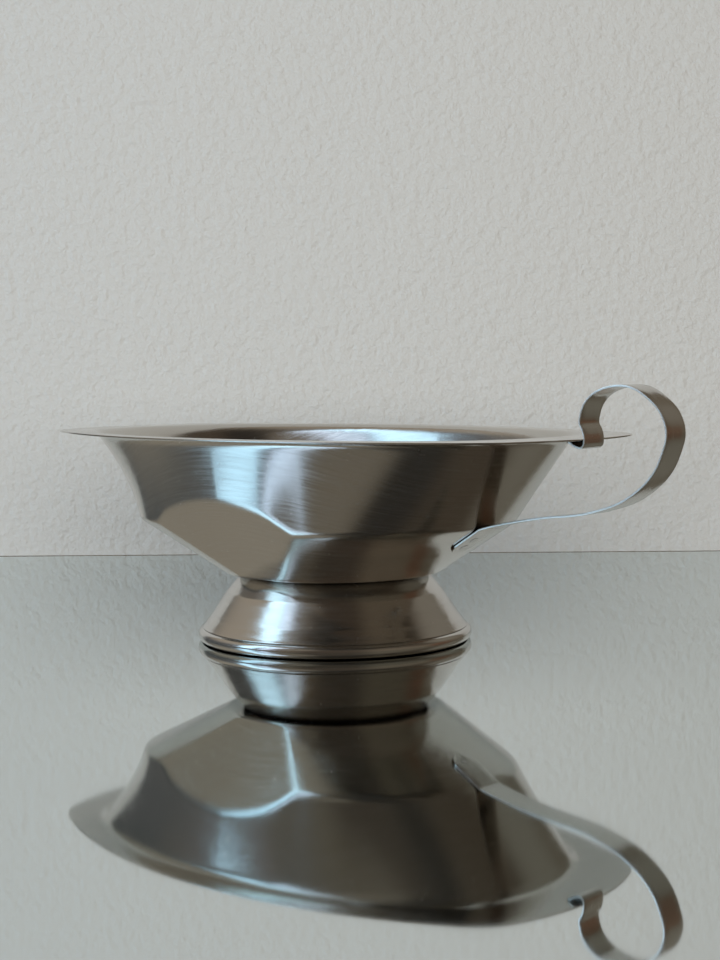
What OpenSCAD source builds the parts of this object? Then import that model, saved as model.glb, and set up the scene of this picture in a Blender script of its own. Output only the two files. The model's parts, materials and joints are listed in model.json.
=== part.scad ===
// Footed stainless pouring boat with a strap handle: a wax melting and pouring pot.
// Origin at the centre of the foot on the table, +Z up, +X toward the handle.

/* [Bowl] */
// Height of the flat rim above the table
rim_h = 70; // [66:1:74]
// Length of the rim from end to end
rim_len = 213; // [210:1:216]
// Width of the rim at the middle
rim_w = 133; // [130:1:136]
// Distance across the rim between the two corners of one end
rim_end_w = 77; // [70:1:82]
// How far each end of the rim bows out past its corners
rim_end_bow = 9.5; // [8:0.5:11]
// How far the rim sits toward the pouring end, measured from the foot's axis
rim_shift = 2.5; // [1:0.5:3.5]
// Thickness of the pressed steel sheet
sheet_t = 0.6; // [0.5:0.1:1]
// Diameter of the bowl's bottom, out to the lines of its sloping ends
base_d = 73; // [72:0.5:74]
// Height of the bowl's flat bottom above the table
base_h = 23; // [22:1:25]
// Height of the crease between the sloping ends and the upper wall
crease_h = 40.5; // [39:0.5:42]
// Radius of each end of the bowl, seen from above, at the crease
crease_r = 49; // [48.6:0.2:50]
// Length of the wall from end to end, just under the rim
wall_len = 180.8; // [178.8:0.2:182.8]
// Width of the wall at the middle, just under the rim
wall_w = 116; // [114:1:118]
// How far the wall sits toward the pouring end, measured from the foot's axis
wall_shift = 4.7; // [4:0.1:5.2]

/* [Foot] */
// Diameter over the rolled bead
foot_d = 92.8; // [90.8:0.4:95.6]
// Height of the rolled bead
bead_h = 4.7; // [4:0.1:5.4]
// Diameter of the foot's top, under the bowl
foot_top_d = 63; // [60:1:64]

/* [Handle] */
// Width of the flat strap
strap_w = 10.4; // [9.4:0.2:12]
// Thickness of the strap
strap_t = 0.6; // [0.5:0.1:1]
// How far the loop reaches out past the end of the rim
loop_reach = 28.4; // [27.2:0.2:30]
// How high the loop rises above the rim
loop_rise = 16; // [15:0.2:17.4]
// Radius of a spot weld's mark
weld_r = 1.5; // [1.2:0.1:1.8]

/* [Hidden] */
steel = "#9a9792";
steel_bright = "#bdbab5";
weld_grey = "#6f6c68";
eps = 0.02;

rays = 72;                          // meridians around the bowl
wall_rings = 18;                    // rings up the wall
junction_f = 2.6;                   // length of the fillet between wall and rim
base_f = 1.4;                       // length of the fillet around the bottom
rim_under = rim_h - sheet_t;

side_y = base_d / 2 - 1.2;          // half width of the flat sides at the bottom
side_bulge = 4.2;                   // how far the upper wall stands out past the crease's plan
end_c = 20;                         // centre of an end's crease arc, from the wall's centre
spout_hollow = 2;                   // how far the wall's line sags inward at the pouring end
vertex_y = crease_r - 1.05;         // half width where a flat side meets an end, at the crease
side_slope = (vertex_y - side_y) / (crease_h - base_h);
vertex_x = end_c + sqrt(crease_r * crease_r - vertex_y * vertex_y);

ridge_k = 0.6;                      // softness of each crease, as a width in millimetres
crease_k = 1.2;
valley_k = 0.3;                     // softness of the valley above each vertex, as a share of the bulge
wall_corner_k = 6;
rim_corner_k = 5;

// A minimum and a maximum with a rounded changeover k wide
function soft_min(a, b, k) = min(a, b) - pow(max(k - abs(a - b), 0), 2) / (4 * k);
function soft_max(a, b, k) = -soft_min(-a, -b, k);
function lerp(a, b, t) = a + (b - a) * t;

// Radius of the arc over a chord of half length c that rises by s
function arc_r(c, s) = (c * c + s * s) / (2 * s);

// Distance from the axis, along the ray at angle a, to a circle about (cx, cy)
function ray_circle(a, cx, cy, r) =
    let (along = cx * cos(a) + cy * abs(sin(a)))
    along + sqrt(r * r - cx * cx - cy * cy + along * along);

// The same for the straight line y = half
function ray_side(a, half) = half / max(abs(sin(a)), 0.001);

// Two equal circles about (-c2, 0) and (c1, 0), with the straight sides that join them
function ray_stadium(a, c1, c2, r) =
    let (x = ray_side(a, r) * cos(a))
    x > c1 ? ray_circle(a, c1, 0, r) : x < -c2 ? ray_circle(a, -c2, 0, r) : ray_side(a, r);

// A boat-shaped plan: two long side arcs and two blunt end arcs, with softened corners
function ray_boat(a, cx, half_l, half_w, side_r, end_r, k) =
    let (reach = half_l - end_r)
    soft_min(ray_circle(a, cx, half_w - side_r, side_r),
             ray_stadium(a, reach + cx, reach - cx, end_r), k);

rim_corner_x = rim_len / 2 - rim_end_bow;
rim_side_r = arc_r(rim_corner_x, (rim_w - rim_end_w) / 2);
rim_end_r = arc_r(rim_end_w / 2, rim_end_bow);
wall_side_r = 150;
wall_end_r = 60;

function rim_ray(a) =
    ray_boat(a, -rim_shift, rim_len / 2, rim_w / 2, rim_side_r, rim_end_r, rim_corner_k);
function wall_top_ray(a) =
    ray_boat(a, -wall_shift, wall_len / 2, wall_w / 2, wall_side_r, wall_end_r, wall_corner_k);

// Sloping ends and flat sides, below the crease
function end_ray(a, t) =
    ray_stadium(a, (end_c - wall_shift) * t, (end_c + wall_shift) * t, lerp(base_d / 2, crease_r, t));
function lower_ray(a, z) =
    soft_min(end_ray(a, (z - base_h) / (crease_h - base_h)),
             ray_side(a, side_y + side_slope * (z - base_h)), ridge_k);

// Upper wall: straight lines from the crease up to the rim, hollowed a little at the pouring end
function wall_foot_ray(a) =
    let (end = end_ray(a, 1))
    let (u = (end * cos(a) + wall_shift) / vertex_x)
    end + side_bulge * soft_max(1 - u * u, 0, valley_k);
function upper_ray(a, z) =
    let (t = (z - crease_h) / (rim_under - crease_h))
    lerp(wall_foot_ray(a), wall_top_ray(a), t)
        - 4 * spout_hollow * max(t, 0) * max(1 - t, 0) * max(-cos(a), 0);

function outer_ray(a, z) = soft_min(lower_ray(a, z), upper_ray(a, z), crease_k);
function wall_run(a, z) = outer_ray(a, z + 0.5) - outer_ray(a, z - 0.5);
function inner_ray(a, z) = outer_ray(a, z) - sheet_t * sqrt(1 + pow(wall_run(a, z), 2));

function bezier(p, q, r, t) = lerp(lerp(p, q, t), lerp(q, r, t), t);
function round_xy(a, rz) = [rz[0] * cos(a), rz[0] * sin(a), rz[1]];

// One meridian of the sheet, from the bottom up the outside, over the rim and down the inside
wall_top = rim_under - junction_f;
function under_corner(a, t) =
    bezier([outer_ray(a, wall_top), wall_top], [outer_ray(a, rim_under), rim_under],
           [outer_ray(a, rim_under) + junction_f, rim_under], t);
function upper_corner(a, t) =
    bezier([inner_ray(a, rim_h) + junction_f + sheet_t, rim_h], [inner_ray(a, rim_h), rim_h],
           [inner_ray(a, wall_top), wall_top], t);
wall_low = base_h + base_f / 2;
function base_corner(a, t) =
    bezier([outer_ray(a, base_h) - base_f, base_h], [outer_ray(a, base_h), base_h],
           [outer_ray(a, wall_low), wall_low], t);
function floor_corner(a, t) =
    bezier([inner_ray(a, wall_low + sheet_t), wall_low + sheet_t],
           [inner_ray(a, base_h + sheet_t), base_h + sheet_t],
           [inner_ray(a, base_h + sheet_t) - base_f, base_h + sheet_t], t);
function meridian(a) = [
    for (t = [0:0.5:0.5]) base_corner(a, t),
    for (i = [0:wall_rings - 1])
        let (z = lerp(wall_low, wall_top, i / wall_rings)) [outer_ray(a, z), z],
    for (t = [0:0.25:1]) under_corner(a, t),
    [rim_ray(a), rim_under],
    [rim_ray(a), rim_h],
    for (t = [0:0.25:1]) upper_corner(a, t),
    for (i = [1:wall_rings - 1])
        let (z = lerp(wall_top, wall_low + sheet_t, i / wall_rings)) [inner_ray(a, z), z],
    for (t = [0:0.5:1]) floor_corner(a, t),
];

module bowl() {
    lines = [for (i = [0:rays - 1]) let (a = 360 * i / rays) [for (p = meridian(a)) round_xy(a, p)]];
    n = len(lines[0]);
    points = [for (line = lines) for (p = line) p];
    skin = [for (i = [0:rays - 1]) for (j = [0:n - 2])
        let (k = (i + 1) % rays) each [
            [i * n + j, i * n + j + 1, k * n + j + 1],
            [i * n + j, k * n + j + 1, k * n + j]]];
    bottom = [for (i = [0:rays - 1]) i * n];
    floor_inside = [for (i = [rays - 1:-1:0]) i * n + n - 1];
    color(steel) polyhedron(points, concat(skin, [bottom, floor_inside]));
}

// Half section of the foot's sheet: ledge, cone, groove, rolled bead and its inward hem
module foot() {
    top_r = foot_top_d / 2;
    bead_r = foot_d / 2;
    neck_r = bead_r - 1.5;
    hem_r = bead_r - 4;
    ledge_r = top_r - 9;
    roll = bead_h / 2;
    outside = [
        [ledge_r, base_h], [top_r - 0.6, base_h], [top_r, base_h - 0.6],
        [top_r + 4.8, base_h - 6.2], [top_r + 10.2, base_h - 14.2], [neck_r - 0.6, bead_h + 0.7],
        [neck_r, bead_h],
        for (a = [80:-20:-60]) [bead_r - roll + roll * cos(a), roll + roll * sin(a)],
        [bead_r - roll, 0], [hem_r + 0.6, 0], [hem_r, 0.6], [hem_r, 2.4]];
    inside = [
        [hem_r + sheet_t, 2.4], [hem_r + sheet_t, 1.2], [hem_r + 1.3, sheet_t],
        [bead_r - roll, sheet_t],
        for (a = [-50:20:70])
            [bead_r - roll + (roll - sheet_t) * cos(a), roll + (roll - sheet_t) * sin(a)],
        [neck_r - 0.7, bead_h - 0.9], [neck_r - 1.6, bead_h + 0.4],
        [top_r + 9.3, base_h - 14.6], [top_r + 3.9, base_h - 6.6],
        [top_r - 0.9, base_h - sheet_t], [ledge_r, base_h - sheet_t]];
    color(steel_bright) rotate_extrude($fn = 96) polygon(concat(outside, inside));
}

// Line of the strap, seen from the side: tongue on the bowl's end, loop, and hook under the rim
edge_x = rim_len / 2 - rim_shift;
tongue_a = atan2(crease_h - base_h, end_c - wall_shift + crease_r - base_d / 2);
tongue_s = 18.6;                    // where the tongue's tip lies, up the slope from the bottom
tongue_l = 14.3;                    // length of the tongue's straight part
function on_tongue(s) = [base_d / 2, base_h] + s * [cos(tongue_a), sin(tongue_a)]
    + (strap_t / 2 + eps) * [sin(tongue_a), -cos(tongue_a)];
function from_edge(x, z) = [edge_x + x, rim_h + z];

out = loop_reach - strap_t / 2;     // reach and rise of the middle of the strap
up = loop_rise - strap_t / 2;
strap_knots = [
    on_tongue(tongue_s + tongue_l),
    from_edge(-37.1, -28.6), from_edge(-27.2, -26.3), from_edge(-14.7, -24.1),
    from_edge(-3.1, -22.7), from_edge(3.7, -21.3), from_edge(12.5, -18.3),
    from_edge(0.7 * out, -13.7), from_edge(0.865 * out, -8.6), from_edge(0.96 * out, -2.9),
    from_edge(out, 1.7), from_edge(0.965 * out, 6.2), from_edge(0.865 * out, 0.65 * up),
    from_edge(0.65 * out, 0.92 * up), from_edge(0.43 * out, up), from_edge(0.18 * out, 0.9 * up),
    from_edge(0.6, 0.67 * up), from_edge(-1.2, 0.34 * up), from_edge(-0.3, 2.9)];

// A smooth curve through the knots, s of the way from knot i to the next
function spline(k, i, s) =
    let (n = len(k) - 1)
    let (a = k[max(i - 1, 0)], b = k[i], c = k[min(i + 1, n)], d = k[min(i + 2, n)])
    b + s * (c - a) / 2 + s * s * (2 * a - 5 * b + 4 * c - d) / 2
      + s * s * s * (3 * b - a - 3 * c + d) / 2;

hook_r = 1.6;                       // radius of the hook's bend, to the middle of the strap
hook_gap = 0.1;                     // between the strap and the rim's edge
hook_x = strap_t / 2 + hook_gap - hook_r;
hook_z = -sheet_t - 0.45;
tail_z = -sheet_t - strap_t / 2 - eps;
strap_line = [
    on_tongue(tongue_s),
    for (i = [0:len(strap_knots) - 2]) for (s = [0:0.25:0.75]) spline(strap_knots, i, s),
    strap_knots[len(strap_knots) - 1],
    from_edge(hook_x + hook_r - 0.2, 1.5), from_edge(hook_x + hook_r, 0.4),
    for (a = [0:-20:-100]) from_edge(hook_x + hook_r * cos(a), hook_z + hook_r * sin(a)),
    from_edge(hook_x - 1.8, hook_z - hook_r + 0.5), from_edge(hook_x - 3.2, tail_z - 0.4),
    from_edge(hook_x - 4.6, tail_z)];

weld_h = 0.1;                       // how far a weld's mark stands out
weld_in = 5;                        // how far the foot's welds lie in from its top's edge
tongue_welds = [3.6, 8.4];          // where the tongue's welds lie, from its tip

function strap_side(line, i) =
    let (n = len(line) - 1)
    let (d = line[min(i + 1, n)] - line[max(i - 1, 0)])
    [-d[1], d[0]] / norm(d);

// The strap, with a rounded tongue
module handle() {
    last = len(strap_line) - 1;
    left = [for (i = [0:last]) strap_line[i] + strap_t / 2 * strap_side(strap_line, i)];
    right = [for (i = [last:-1:0]) strap_line[i] - strap_t / 2 * strap_side(strap_line, i)];
    tip_x = on_tongue(tongue_s)[0];
    color(steel_bright) intersection() {
        rotate([90, 0, 0]) linear_extrude(strap_w, center = true) polygon(concat(left, right));
        union() {
            translate([tip_x + strap_w / 2, 0, 0]) cylinder(h = 2 * rim_h, d = strap_w, $fn = 48);
            translate([tip_x + strap_w / 2, -strap_w, 0]) cube([rim_len, 2 * strap_w, 2 * rim_h]);
        }
    }
}

// Two spot-weld marks on the outside of the tongue
module handle_welds() {
    for (s = tongue_welds)
        translate([on_tongue(tongue_s + s)[0], 0, on_tongue(tongue_s + s)[1]])
            rotate([0, -tongue_a, 0]) translate([0, 0, -strap_t / 2 - weld_h])
                color(weld_grey) cylinder(h = weld_h, r = weld_r, $fn = 24);
}

// Six spot-weld marks under the foot's ledge
module foot_welds() {
    for (a = [30:60:330])
        rotate(a) translate([foot_top_d / 2 - weld_in, 0, base_h - sheet_t - weld_h])
            color(weld_grey) cylinder(h = weld_h, r = weld_r, $fn = 24);
}

bowl();
foot();
handle();
handle_welds();
foot_welds();
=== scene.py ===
"""Looks of a footed stainless pouring boat: sheet-metal meshes, brushed steel and a glossy pale table."""
import json
import math

import bmesh
import bpy
from mathutils import Matrix, Vector

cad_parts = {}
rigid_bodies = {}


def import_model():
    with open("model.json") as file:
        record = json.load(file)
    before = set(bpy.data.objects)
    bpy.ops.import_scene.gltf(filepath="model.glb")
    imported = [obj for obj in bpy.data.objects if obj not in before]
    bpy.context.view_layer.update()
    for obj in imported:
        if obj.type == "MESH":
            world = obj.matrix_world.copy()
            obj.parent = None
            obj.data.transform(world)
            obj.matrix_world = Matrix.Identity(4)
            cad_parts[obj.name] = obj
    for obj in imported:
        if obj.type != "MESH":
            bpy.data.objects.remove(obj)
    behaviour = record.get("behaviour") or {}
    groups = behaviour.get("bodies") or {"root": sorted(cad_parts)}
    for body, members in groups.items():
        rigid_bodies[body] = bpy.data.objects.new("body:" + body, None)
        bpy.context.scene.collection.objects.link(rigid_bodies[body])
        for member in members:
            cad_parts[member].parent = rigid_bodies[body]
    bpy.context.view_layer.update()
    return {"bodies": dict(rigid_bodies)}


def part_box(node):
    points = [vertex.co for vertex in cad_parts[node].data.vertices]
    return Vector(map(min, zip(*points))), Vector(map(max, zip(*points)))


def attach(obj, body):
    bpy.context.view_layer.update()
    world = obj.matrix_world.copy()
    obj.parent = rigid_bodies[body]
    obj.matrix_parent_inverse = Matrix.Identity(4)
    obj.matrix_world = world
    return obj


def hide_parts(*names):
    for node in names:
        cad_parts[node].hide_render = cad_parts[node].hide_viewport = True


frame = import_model()

MM = 0.001
BODY = next(iter(frame["bodies"]))

# ---------------------------------------------------------------- sizes, in millimetres
bowl_lo, bowl_hi = (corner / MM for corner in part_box("bowl"))
foot_lo, foot_hi = (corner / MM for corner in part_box("foot"))
strap_lo, strap_hi = (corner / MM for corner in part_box("handle"))

RIM_H = bowl_hi.z
RIM_LEN = bowl_hi.x - bowl_lo.x
RIM_W = bowl_hi.y - bowl_lo.y
RIM_SHIFT = -(bowl_hi.x + bowl_lo.x) / 2
RIM_END_W = 77.0
RIM_END_BOW = 9.5
SHEET_T = 0.6
BASE_D = 73.0
BASE_H = bowl_lo.z
CREASE_H = 40.5
CREASE_R = 49.0
WALL_LEN = 180.8
WALL_W = 116.0
WALL_SHIFT = 4.7
WALL_SIDE_R = 150.0
WALL_END_R = 60.0
SIDE_BULGE = 4.2
SPOUT_HOLLOW = 2.0
END_C = 20.0
RIM_UNDER = RIM_H - SHEET_T
SIDE_INSET = 1.2
VERTEX_INSET = 1.05
SIDE_Y = BASE_D / 2 - SIDE_INSET
VERTEX_Y = CREASE_R - VERTEX_INSET
SIDE_SLOPE = (VERTEX_Y - SIDE_Y) / (CREASE_H - BASE_H)
VERTEX_X = END_C + math.sqrt(CREASE_R ** 2 - VERTEX_Y ** 2)
JUNCTION_F = 2.6
BASE_F = 1.4

# How wide the rounded changeovers are.
CREASE_K = 1.2
SIDE_K = 0.6
BULGE_K = 0.3
RIM_CORNER_K = 5.0
WALL_CORNER_K = 6.0

FOOT_TOP_R = 31.5
BEAD_R = foot_hi.x
BEAD_H = 4.7

STRAP_W = strap_hi.y - strap_lo.y
STRAP_T = 0.6
EDGE_X = bowl_hi.x
LOOP_OUT = strap_hi.x - EDGE_X - STRAP_T / 2
LOOP_UP = strap_hi.z - RIM_H - STRAP_T / 2
WELD_R = 1.5
WELD_H = 0.1


# ---------------------------------------------------------------- small helpers
def soft_min(a, b, k):
    """The smaller of a and b, with a rounded changeover k wide."""
    return min(a, b) - max(k - abs(a - b), 0) ** 2 / (4 * k)


def soft_max(a, b, k):
    return -soft_min(-a, -b, k)


def lerp(a, b, t):
    return a + (b - a) * t


def smooth(edge_0, edge_1, value):
    t = min(max((value - edge_0) / (edge_1 - edge_0), 0), 1)
    return t * t * (3 - 2 * t)


def bezier(p, q, r, t):
    """A point on the quadratic curve from p to r that starts and ends toward q."""
    return tuple(lerp(lerp(a, b, t), lerp(b, c, t), t) for a, b, c in zip(p, q, r))


def steps(count):
    return [i / count for i in range(count + 1)]


def add_mesh(name, verts, faces, material):
    """A smooth-shaded piece from points in millimetres, riding on the boat."""
    mesh = bpy.data.meshes.new(name)
    mesh.from_pydata([Vector(v) * MM for v in verts], [], faces)
    mesh.materials.append(material)
    bm = bmesh.new()
    bm.from_mesh(mesh)
    bmesh.ops.recalc_face_normals(bm, faces=bm.faces)
    bm.to_mesh(mesh)
    bm.free()
    mesh.shade_smooth()
    piece = bpy.data.objects.new(name, mesh)
    bpy.context.scene.collection.objects.link(piece)
    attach(piece, BODY)
    return piece


def grid_faces(rows, columns, wrap_rows=False, wrap_columns=False):
    """Quads between rows of points, where row i holds points i * columns onward."""
    faces = []
    for i in range(rows if wrap_rows else rows - 1):
        for j in range(columns if wrap_columns else columns - 1):
            below, beside = (i + 1) % rows, (j + 1) % columns
            faces.append((i * columns + j, i * columns + beside,
                          below * columns + beside, below * columns + j))
    return faces


# ---------------------------------------------------------------- the bowl's shape
def arc_radius(half_chord, rise):
    return (half_chord ** 2 + rise ** 2) / (2 * rise)


def ray_circle(a, cx, cy, r):
    """Distance from the axis, along the ray at angle a, to a circle about (cx, cy)."""
    along = cx * math.cos(a) + cy * abs(math.sin(a))
    return along + math.sqrt(r * r - cx * cx - cy * cy + along * along)


def ray_side(a, half):
    return half / max(abs(math.sin(a)), 0.001)


def ray_stadium(a, c1, c2, r):
    """Two equal circles about (-c2, 0) and (c1, 0), with the straight sides that join them."""
    x = ray_side(a, r) * math.cos(a)
    if x > c1:
        return ray_circle(a, c1, 0, r)
    if x < -c2:
        return ray_circle(a, -c2, 0, r)
    return ray_side(a, r)


def ray_boat(a, cx, half_l, half_w, side_r, end_r, k):
    """A boat-shaped plan: two long side arcs and two blunt end arcs, with softened corners."""
    reach = half_l - end_r
    return soft_min(ray_circle(a, cx, half_w - side_r, side_r),
                    ray_stadium(a, reach + cx, reach - cx, end_r), k)


RIM_SIDE_R = arc_radius(RIM_LEN / 2 - RIM_END_BOW, (RIM_W - RIM_END_W) / 2)
RIM_END_R = arc_radius(RIM_END_W / 2, RIM_END_BOW)


def rim_ray(a):
    return ray_boat(a, -RIM_SHIFT, RIM_LEN / 2, RIM_W / 2, RIM_SIDE_R, RIM_END_R, RIM_CORNER_K)


def wall_top_ray(a):
    return ray_boat(a, -WALL_SHIFT, WALL_LEN / 2, WALL_W / 2, WALL_SIDE_R, WALL_END_R,
                    WALL_CORNER_K)


def end_ray(a, t):
    return ray_stadium(a, (END_C - WALL_SHIFT) * t, (END_C + WALL_SHIFT) * t,
                       lerp(BASE_D / 2, CREASE_R, t))


def lower_ray(a, z):
    flat_side = ray_side(a, SIDE_Y + SIDE_SLOPE * (z - BASE_H))
    return soft_min(end_ray(a, (z - BASE_H) / (CREASE_H - BASE_H)), flat_side, SIDE_K)


def upper_ray(a, z):
    end = end_ray(a, 1)
    u = (end * math.cos(a) + WALL_SHIFT) / VERTEX_X
    foot = end + SIDE_BULGE * soft_max(1 - u * u, 0, BULGE_K)
    t = (z - CREASE_H) / (RIM_UNDER - CREASE_H)
    hollow = 4 * SPOUT_HOLLOW * max(t, 0) * max(1 - t, 0) * max(-math.cos(a), 0)
    return lerp(foot, wall_top_ray(a), t) - hollow


def outer_ray(a, z):
    return soft_min(lower_ray(a, z), upper_ray(a, z), CREASE_K)


def inner_ray(a, z):
    run = outer_ray(a, z + 0.5) - outer_ray(a, z - 0.5)
    return outer_ray(a, z) - SHEET_T * math.sqrt(1 + run * run)


WALL_LOW = BASE_H + BASE_F / 2
WALL_TOP = RIM_UNDER - JUNCTION_F


def wall_heights(low, high, count):
    """Heights up the wall, closer together around the creases."""
    crease_low, crease_high = CREASE_H - 3, CREASE_H + 11
    fine = int(count * 0.55)
    below = int((count - fine) * 0.45)
    above = count - fine - below
    return ([lerp(low, crease_low, i / below) for i in range(below)]
            + [lerp(crease_low, crease_high, i / fine) for i in range(fine)]
            + [lerp(crease_high, high, i / above) for i in range(above)] + [high])


def bowl_meridian(a):
    """(radius, height) of the sheet at angle a: up the outside, over the rim and down the inside."""
    out = lambda z: (outer_ray(a, z), z)
    inn = lambda z: (inner_ray(a, z), z)
    edge = SHEET_T / 2
    flat = outer_ray(a, BASE_H) - BASE_F
    rim = rim_ray(a)
    line = [(flat * s, BASE_H) for s in (0.02, 0.5, 0.9)]
    line += [bezier((flat, BASE_H), out(BASE_H), out(WALL_LOW), t) for t in steps(6)[:-1]]
    line += [out(z) for z in wall_heights(WALL_LOW, WALL_TOP, 80)[:-1]]
    under = outer_ray(a, RIM_UNDER)
    line += [bezier(out(WALL_TOP), (under, RIM_UNDER), (under + JUNCTION_F, RIM_UNDER), t)
             for t in steps(8)]
    line += [(lerp(under + JUNCTION_F, rim, s), RIM_UNDER) for s in (0.3, 0.6, 0.9)]
    line += [(rim - edge + edge * math.cos(v), RIM_H - edge + edge * math.sin(v))
             for v in (-1.5, -1.0, -0.5, 0, 0.5, 1.0, 1.5)]
    top = inner_ray(a, RIM_H)
    shoulder = top + JUNCTION_F + SHEET_T
    line += [(lerp(rim - edge, shoulder, s), RIM_H) for s in (0.1, 0.4, 0.7)]
    line += [bezier((shoulder, RIM_H), (top, RIM_H), inn(WALL_TOP), t) for t in steps(10)]
    line += [inn(z) for z in wall_heights(WALL_LOW + SHEET_T, WALL_TOP, 80)[-2:0:-1]]
    floor_h = BASE_H + SHEET_T
    corner = inner_ray(a, floor_h)
    line += [bezier(inn(WALL_LOW + SHEET_T), (corner, floor_h), (corner - BASE_F, floor_h), t)
             for t in steps(6)]
    line += [((corner - BASE_F) * s, floor_h) for s in (0.9, 0.5, 0.02)]
    return line


def build_bowl(material, rays=400):
    verts = []
    for i in range(rays):
        a = 2 * math.pi * i / rays
        line = bowl_meridian(a)
        verts += [(r * math.cos(a), r * math.sin(a), z) for r, z in line]
    count = len(line)
    faces = grid_faces(rays, count, wrap_rows=True)
    faces.append([i * count for i in range(rays)][::-1])
    faces.append([i * count + count - 1 for i in range(rays)])
    piece = add_mesh("bowl_shell", verts, faces, material)
    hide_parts("bowl")


# ---------------------------------------------------------------- the foot
def rounded(points, reach, count=4):
    """An open line of points with each inner corner rounded off, starting reach before it."""
    line = [points[0]]
    for before, corner, after in zip(points, points[1:], points[2:]):
        b, c, d = Vector(before), Vector(corner), Vector(after)
        cut = min(reach, (b - c).length * 0.45, (d - c).length * 0.45)
        start, end = c + (b - c).normalized() * cut, c + (d - c).normalized() * cut
        line += [bezier(start, c, end, t) for t in steps(count)]
    return line + [points[-1]]


def subdivided(points, longest):
    line = [points[0]]
    for p, q in zip(points, points[1:]):
        count = max(1, math.ceil((Vector(q) - Vector(p)).length / longest))
        line += [tuple(lerp(a, b, (i + 1) / count) for a, b in zip(p, q)) for i in range(count)]
    return line


def foot_section():
    """Half section of the foot's sheet: ledge, cone, groove, rolled bead and its inward hem."""
    ledge_r, neck_r, hem_r = FOOT_TOP_R - 9, BEAD_R - 1.5, BEAD_R - 4
    roll = BEAD_H / 2
    around = lambda r, degrees: (BEAD_R - roll + r * math.cos(math.radians(degrees)),
                                 roll + r * math.sin(math.radians(degrees)))
    outside = [(ledge_r, BASE_H), (FOOT_TOP_R - 0.6, BASE_H), (FOOT_TOP_R, BASE_H - 0.6),
               (FOOT_TOP_R + 4.8, BASE_H - 6.2), (FOOT_TOP_R + 10.2, BASE_H - 14.2),
               (neck_r - 0.6, BEAD_H + 0.7), (neck_r, BEAD_H)]
    outside += [around(roll, v) for v in range(80, -61, -10)]
    outside += [(BEAD_R - roll, 0), (hem_r + 0.6, 0), (hem_r, 0.6), (hem_r, 2.4)]
    inner = roll - SHEET_T
    inside = [(hem_r + SHEET_T, 2.4), (hem_r + SHEET_T, 1.2), (hem_r + 1.3, SHEET_T),
              (BEAD_R - roll, SHEET_T)]
    inside += [around(inner, v) for v in range(-50, 71, 15)]
    inside += [(neck_r - 0.7, BEAD_H - 0.9), (neck_r - 1.6, BEAD_H + 0.4),
               (FOOT_TOP_R + 9.3, BASE_H - 14.6), (FOOT_TOP_R + 3.9, BASE_H - 6.6),
               (FOOT_TOP_R - 0.9, BASE_H - SHEET_T), (ledge_r, BASE_H - SHEET_T)]
    return subdivided(rounded(outside, 0.35) + rounded(inside, 0.35), 1.5)


def build_foot(material, rays=256):
    section = foot_section()
    verts = []
    for i in range(rays):
        a = 2 * math.pi * i / rays
        verts += [(r * math.cos(a), r * math.sin(a), z) for r, z in section]
    faces = grid_faces(rays, len(section), wrap_rows=True, wrap_columns=True)
    piece = add_mesh("foot_shell", verts, faces, material)
    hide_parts("foot")


# ---------------------------------------------------------------- the strap handle
TONGUE_A = math.atan2(CREASE_H - BASE_H, END_C - WALL_SHIFT + CREASE_R - BASE_D / 2)
TONGUE_S = 18.6
TONGUE_L = 14.3
UPHILL = Vector((math.cos(TONGUE_A), math.sin(TONGUE_A)))
DOWNWARD = Vector((math.sin(TONGUE_A), -math.cos(TONGUE_A)))


def on_tongue(s, below=0.0):
    """A point s up the slope of the bowl's end, on the strap's middle line or below it."""
    return Vector((BASE_D / 2, BASE_H)) + UPHILL * s + DOWNWARD * (STRAP_T / 2 + 0.02 + below)


def from_edge(x, z):
    return Vector((EDGE_X + x, RIM_H + z))


def spline(knots, per_span):
    """A smooth curve through the knots."""
    line = []
    last = len(knots) - 1
    for i in range(last):
        a, b, c, d = (knots[min(max(i + k, 0), last)] for k in (-1, 0, 1, 2))
        for s in steps(per_span)[:-1]:
            line.append(b + s * (c - a) / 2 + s * s * (2 * a - 5 * b + 4 * c - d) / 2
                        + s ** 3 * (3 * b - a - 3 * c + d) / 2)
    return line + [knots[-1]]


def strap_line():
    """The strap's middle line, seen from the side: tongue, loop, and hook under the rim."""
    out, up = LOOP_OUT, LOOP_UP
    knots = [
        on_tongue(TONGUE_S + TONGUE_L),
        from_edge(-37.1, -28.6), from_edge(-27.2, -26.3), from_edge(-14.7, -24.1),
        from_edge(-3.1, -22.7), from_edge(3.7, -21.3), from_edge(12.5, -18.3),
        from_edge(0.7 * out, -13.7), from_edge(0.865 * out, -8.6), from_edge(0.96 * out, -2.9),
        from_edge(out, 1.7), from_edge(0.965 * out, 6.2), from_edge(0.865 * out, 0.65 * up),
        from_edge(0.65 * out, 0.92 * up), from_edge(0.43 * out, up), from_edge(0.18 * out, 0.9 * up),
        from_edge(0.6, 0.67 * up), from_edge(-1.2, 0.34 * up), from_edge(-0.3, 2.9)]
    hook_r = 1.6
    hook_x = STRAP_T / 2 + 0.1 - hook_r
    hook_z = -SHEET_T - 0.45
    tail_z = -SHEET_T - STRAP_T / 2 - 0.02
    hook = [from_edge(hook_x + hook_r - 0.2, 1.5), from_edge(hook_x + hook_r, 0.4)]
    hook += [from_edge(hook_x + hook_r * math.cos(v), hook_z + hook_r * math.sin(v))
             for v in (-math.radians(12 * i) for i in range(9))]
    hook += [from_edge(hook_x - 1.8, hook_z - hook_r + 0.5), from_edge(hook_x - 3.2, tail_z - 0.4),
             from_edge(hook_x - 4.6, tail_z)]
    tongue = [on_tongue(TONGUE_S + TONGUE_L * t * t) for t in steps(16)[:-1]]
    return tongue + spline(knots, 10) + spline(hook, 3)


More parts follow.
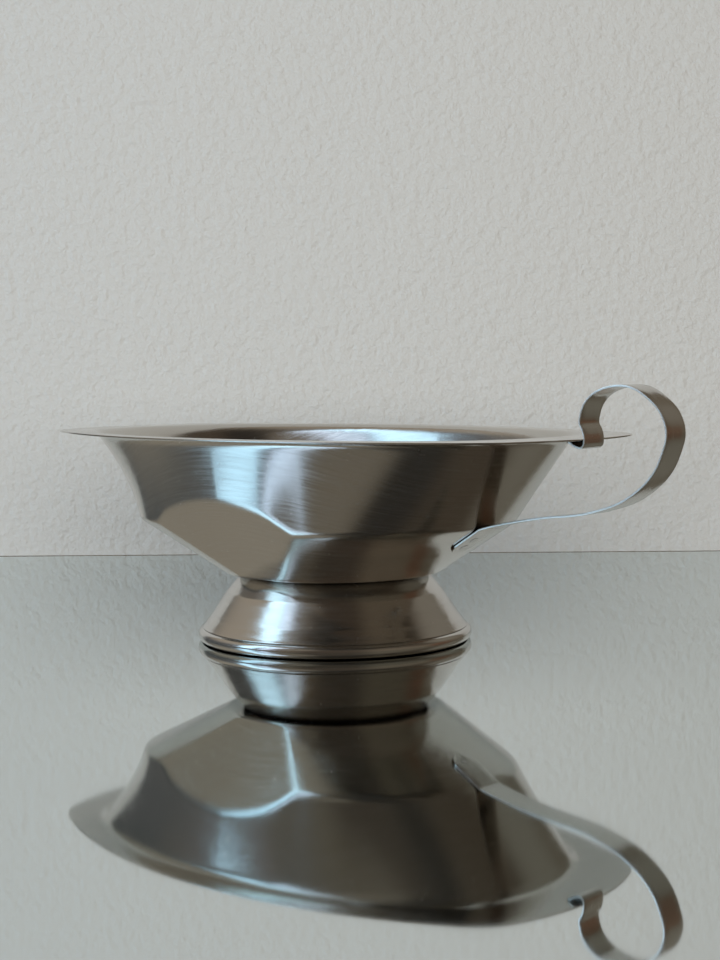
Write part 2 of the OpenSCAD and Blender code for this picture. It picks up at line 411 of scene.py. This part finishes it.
def strap_half_width(run, total):
    """Half of the strap's width, run millimetres from the tongue's tip: the tip is round."""
    half = STRAP_W / 2
    if run < half:
        half *= math.sqrt(max(1 - (1 - run / half) ** 2, 0.0004))
    return half - 0.5 * (1 - smooth(0, 0.6, total - run))


def strap_ring(centre, normal, half_w, half_t):
    """Points around the strap at one place: two flat faces with slightly rounded cut edges."""
    r = min(half_t * 0.55, half_w * 0.5)
    ring = []
    for corner_y, corner_n, start in ((1, 1, 0), (-1, 1, 90), (-1, -1, 180), (1, -1, 270)):
        for turn in (0, 30, 60, 90):
            v = math.radians(start + turn)
            y = corner_y * (half_w - r) + r * math.cos(v)
            n = corner_n * (half_t - r) + r * math.sin(v)
            ring.append((centre.x + normal.x * n, y, centre.y + normal.y * n))
        if corner_y * corner_n > 0:
            ring += [(centre.x + normal.x * corner_n * half_t, corner_n * half_w * s * 0.9,
                      centre.y + normal.y * corner_n * half_t) for s in (0.5, 0, -0.5)]
    return ring


def build_handle(material):
    line = strap_line()
    runs = [0.0]
    for p, q in zip(line, line[1:]):
        runs.append(runs[-1] + (q - p).length)
    verts = []
    for i, centre in enumerate(line):
        d = (line[min(i + 1, len(line) - 1)] - line[max(i - 1, 0)]).normalized()
        ring = strap_ring(centre, Vector((-d.y, d.x)), strap_half_width(runs[i], runs[-1]), STRAP_T / 2)
        verts += ring
    count = len(ring)
    faces = grid_faces(len(line), count, wrap_columns=True)
    faces += [list(range(count))[::-1], [(len(line) - 1) * count + j for j in range(count)]]
    piece = add_mesh("strap_handle", verts, faces, material)
    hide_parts("handle")


# ---------------------------------------------------------------- spot-weld marks
def weld_mark(centre, side, out, rays=32):
    """A dished disc with a raised lip: its foot at centre, rising along out; side is across it."""
    across = out.cross(side)
    rings = ((0.05, 0.35), (0.45, 0.4), (0.7, 0.75), (0.82, 1.0), (0.93, 0.8), (1.0, 0.0))
    verts = []
    for share_r, share_h in rings:
        for i in range(rays):
            v = 2 * math.pi * i / rays
            flat = side * math.cos(v) + across * math.sin(v)
            verts.append(centre + flat * (WELD_R * share_r) + out * (WELD_H * share_h))
    return verts, grid_faces(len(rings), rays, wrap_columns=True) + [
        list(range(rays)), [(len(rings) - 1) * rays + i for i in range(rays)][::-1]]


def build_welds(name, node, marks, material):
    verts, faces = [], []
    for mark_verts, mark_faces in marks:
        faces += [[k + len(verts) for k in face] for face in mark_faces]
        verts += mark_verts
    piece = add_mesh(name, verts, faces, material)
    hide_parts(node)


def tongue_marks():
    slope = Vector((UPHILL.x, 0, UPHILL.y))
    out = Vector((DOWNWARD.x, 0, DOWNWARD.y))
    spots = (on_tongue(TONGUE_S + s, STRAP_T / 2) for s in (3.6, 8.4))
    return [weld_mark(Vector((p.x, 0, p.y)), slope, out) for p in spots]


def ledge_marks():
    ring_r = FOOT_TOP_R - 5
    angles = [math.radians(a) for a in range(30, 360, 60)]
    spots = [Vector((ring_r * math.cos(a), ring_r * math.sin(a), BASE_H - SHEET_T)) for a in angles]
    return [weld_mark(p, Vector((1, 0, 0)), Vector((0, 0, -1))) for p in spots]


# ---------------------------------------------------------------- materials
class Nodes:
    """A short way to write a material's nodes."""

    def __init__(self, name):
        self.material = bpy.data.materials.new(name)
        self.material.use_nodes = True
        self.tree = self.material.node_tree
        self.tree.nodes.clear()

    def add(self, kind, settings=None, **inputs):
        node = self.tree.nodes.new(kind)
        for key, value in (settings or {}).items():
            setattr(node, key, value)
        for key, value in inputs.items():
            self.set(node, key.replace("_", " "), value)
        return node

    def set(self, node, key, value):
        socket = node.inputs[int(key)] if key.isdigit() else node.inputs[key]
        if isinstance(value, bpy.types.NodeSocket):
            self.tree.links.new(value, socket)
        else:
            socket.default_value = value

    def math(self, operation, a, b=0.0):
        node = self.add("ShaderNodeMath", {"operation": operation})
        self.set(node, "0", a)
        self.set(node, "1", b)
        return node.outputs[0]

    def range(self, value, low, high, from_low=0.0, from_high=1.0):
        node = self.add("ShaderNodeMapRange", Value=value)
        ends = (("From Min", from_low), ("From Max", from_high), ("To Min", low), ("To Max", high))
        for key, number in ends:
            node.inputs[key].default_value = number
        return node.outputs["Result"]

    def noise(self, vector, scale, detail=3.0, roughness=0.5):
        return self.add("ShaderNodeTexNoise", Vector=vector, Scale=scale, Detail=detail,
                        Roughness=roughness).outputs["Fac"]

    def vector(self, x, y, z):
        return self.add("ShaderNodeCombineXYZ", X=x, Y=y, Z=z).outputs[0]

    def xyz(self):
        place = self.add("ShaderNodeTexCoord").outputs["Object"]
        split = self.add("ShaderNodeSeparateXYZ", Vector=place)
        return place, split.outputs["X"], split.outputs["Y"], split.outputs["Z"]

    def finish(self, shader):
        self.add("ShaderNodeOutputMaterial", Surface=shader)
        return self.material


def around_axis(n, fineness):
    """Coordinates that change fast across turned lines and slowly along them."""
    place, x, y, z = n.xyz()
    radius = n.math("SQRT", n.math("ADD", n.math("MULTIPLY", x, x), n.math("MULTIPLY", y, y)))
    turn_x = n.math("MULTIPLY", n.math("DIVIDE", x, radius), 2.2)
    turn_y = n.math("MULTIPLY", n.math("DIVIDE", y, radius), 2.2)
    across = n.math("MULTIPLY", n.math("ADD", z, radius), fineness)
    return place, n.vector(turn_x, turn_y, across)


def along_strap(n, fineness):
    """Coordinates for lines that run along the strip."""
    place, x, y, z = n.xyz()
    along_x, along_z = n.math("MULTIPLY", x, 60.0), n.math("MULTIPLY", z, 60.0)
    return place, n.vector(along_x, n.math("MULTIPLY", y, fineness), along_z)


COARSE_LINES = 900.0
FINE_LINES = 3600.0


def steel(name, lines, colour, roughness, brushed, anisotropy, line_bump=0.12, shade_band_h=None, highlight_edge_y=None):
    """Brushed stainless steel with smudges and specks; if a height is given, painted shade just below it,
    where the foot meets the bowl; if a half-width is given, a painted highlight along the cut edges that
    far from the middle.
    """
    n = Nodes(name)
    place, coarse = lines(n, COARSE_LINES)
    fine = lines(n, FINE_LINES)[1]
    brush = n.math("ADD", n.math("MULTIPLY", n.noise(coarse, 1.0, 4.0, 0.6), 0.55),
                   n.math("MULTIPLY", n.noise(fine, 1.0, 2.0, 0.6), 0.45))
    smudge = n.noise(place, 26.0, 4.0, 0.55)
    cloud = n.noise(place, 9.0, 2.0, 0.5)
    speck = n.range(n.noise(place, 800.0, 2.0, 0.7), 0.0, 1.0, 0.66, 0.76)
    rough = n.math("ADD", n.range(brush, roughness - brushed, roughness + brushed, 0.3, 0.7),
                   n.range(smudge, -0.03, 0.06, 0.35, 0.7))
    rough = n.math("ADD", rough, n.math("MULTIPLY", speck, 0.12))
    rough = n.math("MAXIMUM", rough, 0.05)
    tint = n.add("ShaderNodeMix", {"data_type": "RGBA"})
    n.set(tint, "0", n.range(cloud, 0.0, 1.0, 0.35, 0.65))
    tint.inputs[6].default_value = (*[c * 0.93 for c in colour], 1)
    tint.inputs[7].default_value = (*[min(c * 1.05, 1) for c in colour], 1)
    colour_socket = tint.outputs[2]
    # Painted shade: the steel just under the given height is darkened to near black, standing in for the
    # shadow and dark reflection of the bowl's underside on the top of the foot.
    if shade_band_h is not None:
        painted_shade = n.add("ShaderNodeMix", {"data_type": "RGBA"})
        n.set(painted_shade, "0", n.range(n.xyz()[3], 0.0, 0.9, (shade_band_h - 2.2) * MM, (shade_band_h - 0.6) * MM))
        n.set(painted_shade, "6", colour_socket)
        painted_shade.inputs[7].default_value = (0.05, 0.045, 0.04, 1)
        colour_socket = painted_shade.outputs[2]
    # Painted highlight: a near-white band along the strap's cut edges stands in for the bright reflection
    # they catch.
    if highlight_edge_y is not None:
        cut = n.range(n.math("ABSOLUTE", n.xyz()[2]), 0.0, 1.0, (highlight_edge_y - 0.25) * MM, (highlight_edge_y - 0.12) * MM)
        edge = n.add("ShaderNodeMix", {"data_type": "RGBA"})
        n.set(edge, "0", cut)
        n.set(edge, "6", colour_socket)
        edge.inputs[7].default_value = (1.0, 0.97, 0.93, 1)
        colour_socket = edge.outputs[2]
        rough = n.math("ADD", rough, n.math("MULTIPLY", cut, 0.15))
    bump = n.add("ShaderNodeBump", Height=brush, Strength=line_bump, Distance=0.00008)
    dents = n.add("ShaderNodeBump", Height=n.noise(place, 60.0, 2.0, 0.5), Strength=0.25, Distance=0.0002,
                  Normal=bump.outputs[0])
    tangent = n.add("ShaderNodeTangent", {"direction_type": "RADIAL", "axis": "Z"})
    shader = n.add("ShaderNodeBsdfPrincipled", Base_Color=colour_socket, Metallic=1.0, Roughness=rough,
                   Normal=dents.outputs[0], Tangent=tangent.outputs[0], Anisotropic=anisotropy)
    return n.finish(shader.outputs[0])


def table_top():
    """A polished pale metal table that mirrors what stands on it."""
    n = Nodes("polished_table")
    place = n.xyz()[0]
    haze = n.range(n.noise(place, 14.0, 4.0, 0.6), 0.02, 0.06, 0.35, 0.75)
    ripple = n.add("ShaderNodeBump", Height=n.noise(place, 5.0, 1.0, 0.4), Strength=0.15, Distance=0.0004)
    mirror = n.add("ShaderNodeBsdfAnisotropic", Color=(0.80, 0.84, 0.84, 1), Roughness=haze,
                   Normal=ripple.outputs[0])
    return n.finish(mirror.outputs[0])


def painted_wall():
    """Pale roller-painted plaster. It is one-sided, so that it hides nothing from behind."""
    n = Nodes("painted_wall")
    place = n.xyz()[0]
    bump = n.add("ShaderNodeBump", Height=n.noise(place, 230.0, 4.0, 0.55), Strength=0.8, Distance=0.0024)
    paint = n.add("ShaderNodeBsdfDiffuse", Color=(0.675, 0.672, 0.652, 1), Normal=bump.outputs[0])
    back = n.add("ShaderNodeNewGeometry").outputs["Backfacing"]
    clear = n.add("ShaderNodeBsdfTransparent")
    mix = n.add("ShaderNodeMixShader", Fac=back)
    n.set(mix, "1", paint.outputs[0])
    n.set(mix, "2", clear.outputs[0])
    return n.finish(mix.outputs[0])


# ---------------------------------------------------------------- stage, light and camera
# The camera stands this far from the foot, as seen from above, and looks along these angles.
CAMERA_PLACE = Vector((0.37314, -0.40627, 0.09193))
CAMERA_AZIMUTH = math.radians(41.64)
CAMERA_DOWN = math.radians(3.988)
CAMERA_ROLL = math.radians(-0.503)
CAMERA_LENS = 61.24
WALL_BEHIND = 0.247
WALL_TURN = math.radians(-0.63)
WALL_HALF = 0.27
WALL_TALL = 0.75
WALL_GAP = 0.0002


def compass(degrees, distance, height):
    """A point at an angle seen from above, counted from the handle's side toward +Y."""
    a = math.radians(degrees)
    return Vector((distance * math.cos(a), distance * math.sin(a), height))


def stage_mesh(name, verts, faces, material):
    mesh = bpy.data.meshes.new(name)
    mesh.from_pydata(verts, [], faces)
    mesh.materials.append(material)
    thing = bpy.data.objects.new(name, mesh)
    bpy.context.scene.collection.objects.link(thing)
    return thing


def build_stage():
    floor_half = 3.0
    corners = [(x * floor_half, y * floor_half, 0) for x, y in ((-1, -1), (1, -1), (1, 1), (-1, 1))]
    stage_mesh("floor", corners, [(0, 1, 2, 3)], table_top())
    ahead = Vector((-math.sin(CAMERA_AZIMUTH), math.cos(CAMERA_AZIMUTH), 0))
    turned = CAMERA_AZIMUTH + WALL_TURN
    right = Vector((math.cos(turned), math.sin(turned), 0))
    middle = ahead * WALL_BEHIND
    ends = (middle - right * WALL_HALF, middle + right * WALL_HALF)
    low, high = Vector((0, 0, WALL_GAP)), Vector((0, 0, WALL_TALL))
    verts = [ends[0] + low, ends[1] + low, ends[1] + high, ends[0] + high]
    stage_mesh("wall_behind", verts, [(0, 1, 2, 3)], painted_wall())


def area_light(name, place, target, size, power, colour, glossy=True):
    data = bpy.data.lights.new(name, "AREA")
    data.shape = "RECTANGLE"
    data.size, data.size_y = size
    data.energy = power
    data.color = colour
    lamp = bpy.data.objects.new(name, data)
    lamp.location = place
    lamp.rotation_mode = "QUATERNION"
    lamp.rotation_quaternion = (target - place).to_track_quat("-Z", "Y")
    lamp.visible_camera = False
    lamp.visible_glossy = glossy
    bpy.context.scene.collection.objects.link(lamp)


WINDOW_AWAY = 1.15
WINDOW_H = 0.70
WINDOW_TALL = 1.15
FILL_AWAY = 1.3
FILL_H = 0.28


def build_lights():
    """Two panes of a window, and a wide soft light for the wall that the steel doesn't mirror."""
    middle = Vector((0, 0, 0.05))
    left, right = compass(234, WINDOW_AWAY, WINDOW_H), compass(251.5, WINDOW_AWAY, WINDOW_H)
    area_light("window_left", left, middle, (0.34, WINDOW_TALL), 3.0, (0.45, 0.75, 1.0))
    area_light("window_right", right, middle, (0.17, WINDOW_TALL), 1.15, (0.57, 0.745, 1.0))
    wall_middle = compass(90 + math.degrees(CAMERA_AZIMUTH), WALL_BEHIND, 0.2)
    area_light("soft_fill", compass(310, FILL_AWAY, FILL_H), wall_middle, (1.4, 0.5), 17.2,
               (1.0, 0.985, 0.95), glossy=False)


ROOM_COLOUR = (0.158, 0.133, 0.10)
# Patches of the room around the table: where each lies (angle seen from above, and above the horizon),
# how wide it is, how softly it ends, and its colour.
ROOM_PATCHES = (
    (232, 30, 26, 16, (0.17, 0.18, 0.20)),
    (188, 12, 24, 12, (0.11, 0.115, 0.118)),
    (190, 50, 30, 14, (0.37, 0.33, 0.275)),
    (328, 62, 26, 14, (0.035, 0.03, 0.025)),
    (310, 12, 27, 12, (0.072, 0.057, 0.044)),
    (270, 38, 14, 10, (0.21, 0.182, 0.145)),
    (45, 50, 26, 16, (0.08, 0.062, 0.045)),
    (50, 2, 12, 5, (0.15, 0.09, 0.06)),
    (70, 30, 14, 10, (0.22, 0.2, 0.165)),
)


def build_world():
    """A dim warm room: one colour with soft patches, seen only in reflections and as a faint fill."""
    world = bpy.data.worlds.new("room")
    bpy.context.scene.world = world
    world.use_nodes = True
    tree = world.node_tree
    way = tree.nodes.new("ShaderNodeTexCoord").outputs["Generated"]
    colour = None
    for angle, height, reach, soft, shade in ROOM_PATCHES:
        near = tree.nodes.new("ShaderNodeVectorMath")
        near.operation = "DOT_PRODUCT"
        tree.links.new(way, near.inputs[0])
        tilt = math.radians(height)
        near.inputs[1].default_value = compass(angle, math.cos(tilt), math.sin(tilt))
        fade = tree.nodes.new("ShaderNodeMapRange")
        fade.interpolation_type = "SMOOTHSTEP"
        tree.links.new(near.outputs["Value"], fade.inputs["Value"])
        fade.inputs["From Min"].default_value = math.cos(math.radians(reach + soft))
        fade.inputs["From Max"].default_value = math.cos(math.radians(max(reach - soft, 1)))
        mix = tree.nodes.new("ShaderNodeMix")
        mix.data_type = "RGBA"
        tree.links.new(fade.outputs["Result"], mix.inputs[0])
        if colour is None:
            mix.inputs[6].default_value = (*ROOM_COLOUR, 1)
        else:
            tree.links.new(colour, mix.inputs[6])
        mix.inputs[7].default_value = (*shade, 1)
        colour = mix.outputs[2]
    tree.links.new(colour, tree.nodes["Background"].inputs["Color"])


def build_camera():
    scene = bpy.context.scene
    data = bpy.data.cameras.new("camera")
    data.lens = CAMERA_LENS
    data.clip_start, data.clip_end = 0.01, 20
    camera = bpy.data.objects.new("camera", data)
    flat = Vector((-math.sin(CAMERA_AZIMUTH), math.cos(CAMERA_AZIMUTH), 0))
    ahead = flat * math.cos(CAMERA_DOWN) - Vector((0, 0, math.sin(CAMERA_DOWN)))
    right = ahead.cross(Vector((0, 0, 1))).normalized()
    up = right.cross(ahead)
    c, s = math.cos(CAMERA_ROLL), math.sin(CAMERA_ROLL)
    axes = Matrix((right * c + up * s, up * c - right * s, -ahead)).transposed()
    camera.matrix_world = Matrix.Translation(CAMERA_PLACE) @ axes.to_4x4()
    scene.collection.objects.link(camera)
    scene.camera = camera
    scene.view_settings.view_transform = "Standard"


# ---------------------------------------------------------------- build everything
bowl_steel = steel("bowl_steel", around_axis, (0.61, 0.575, 0.53), 0.15, 0.07, 0.4, 0.3)
# The foot's steel carries painted shade just under the bowl's base.
foot_steel = steel("foot_steel", around_axis, (0.62, 0.595, 0.56), 0.14, 0.07, 0.6, 0.35, shade_band_h=BASE_H)
# The handle's steel carries a painted highlight along its cut edges.
handle_steel = steel("handle_steel", along_strap, (0.60, 0.57, 0.53), 0.18, 0.06, 0.0, 0.2,
                     highlight_edge_y=STRAP_W / 2)
mark_steel = steel("weld_marks", along_strap, (0.57, 0.55, 0.52), 0.24, 0.05, 0.0)

build_bowl(bowl_steel)
build_foot(foot_steel)
build_handle(handle_steel)
build_welds("tongue_weld_marks", "handle_welds", tongue_marks(), mark_steel)
build_welds("ledge_weld_marks", "foot_welds", ledge_marks(), mark_steel)
build_stage()
build_lights()
build_world()
build_camera()
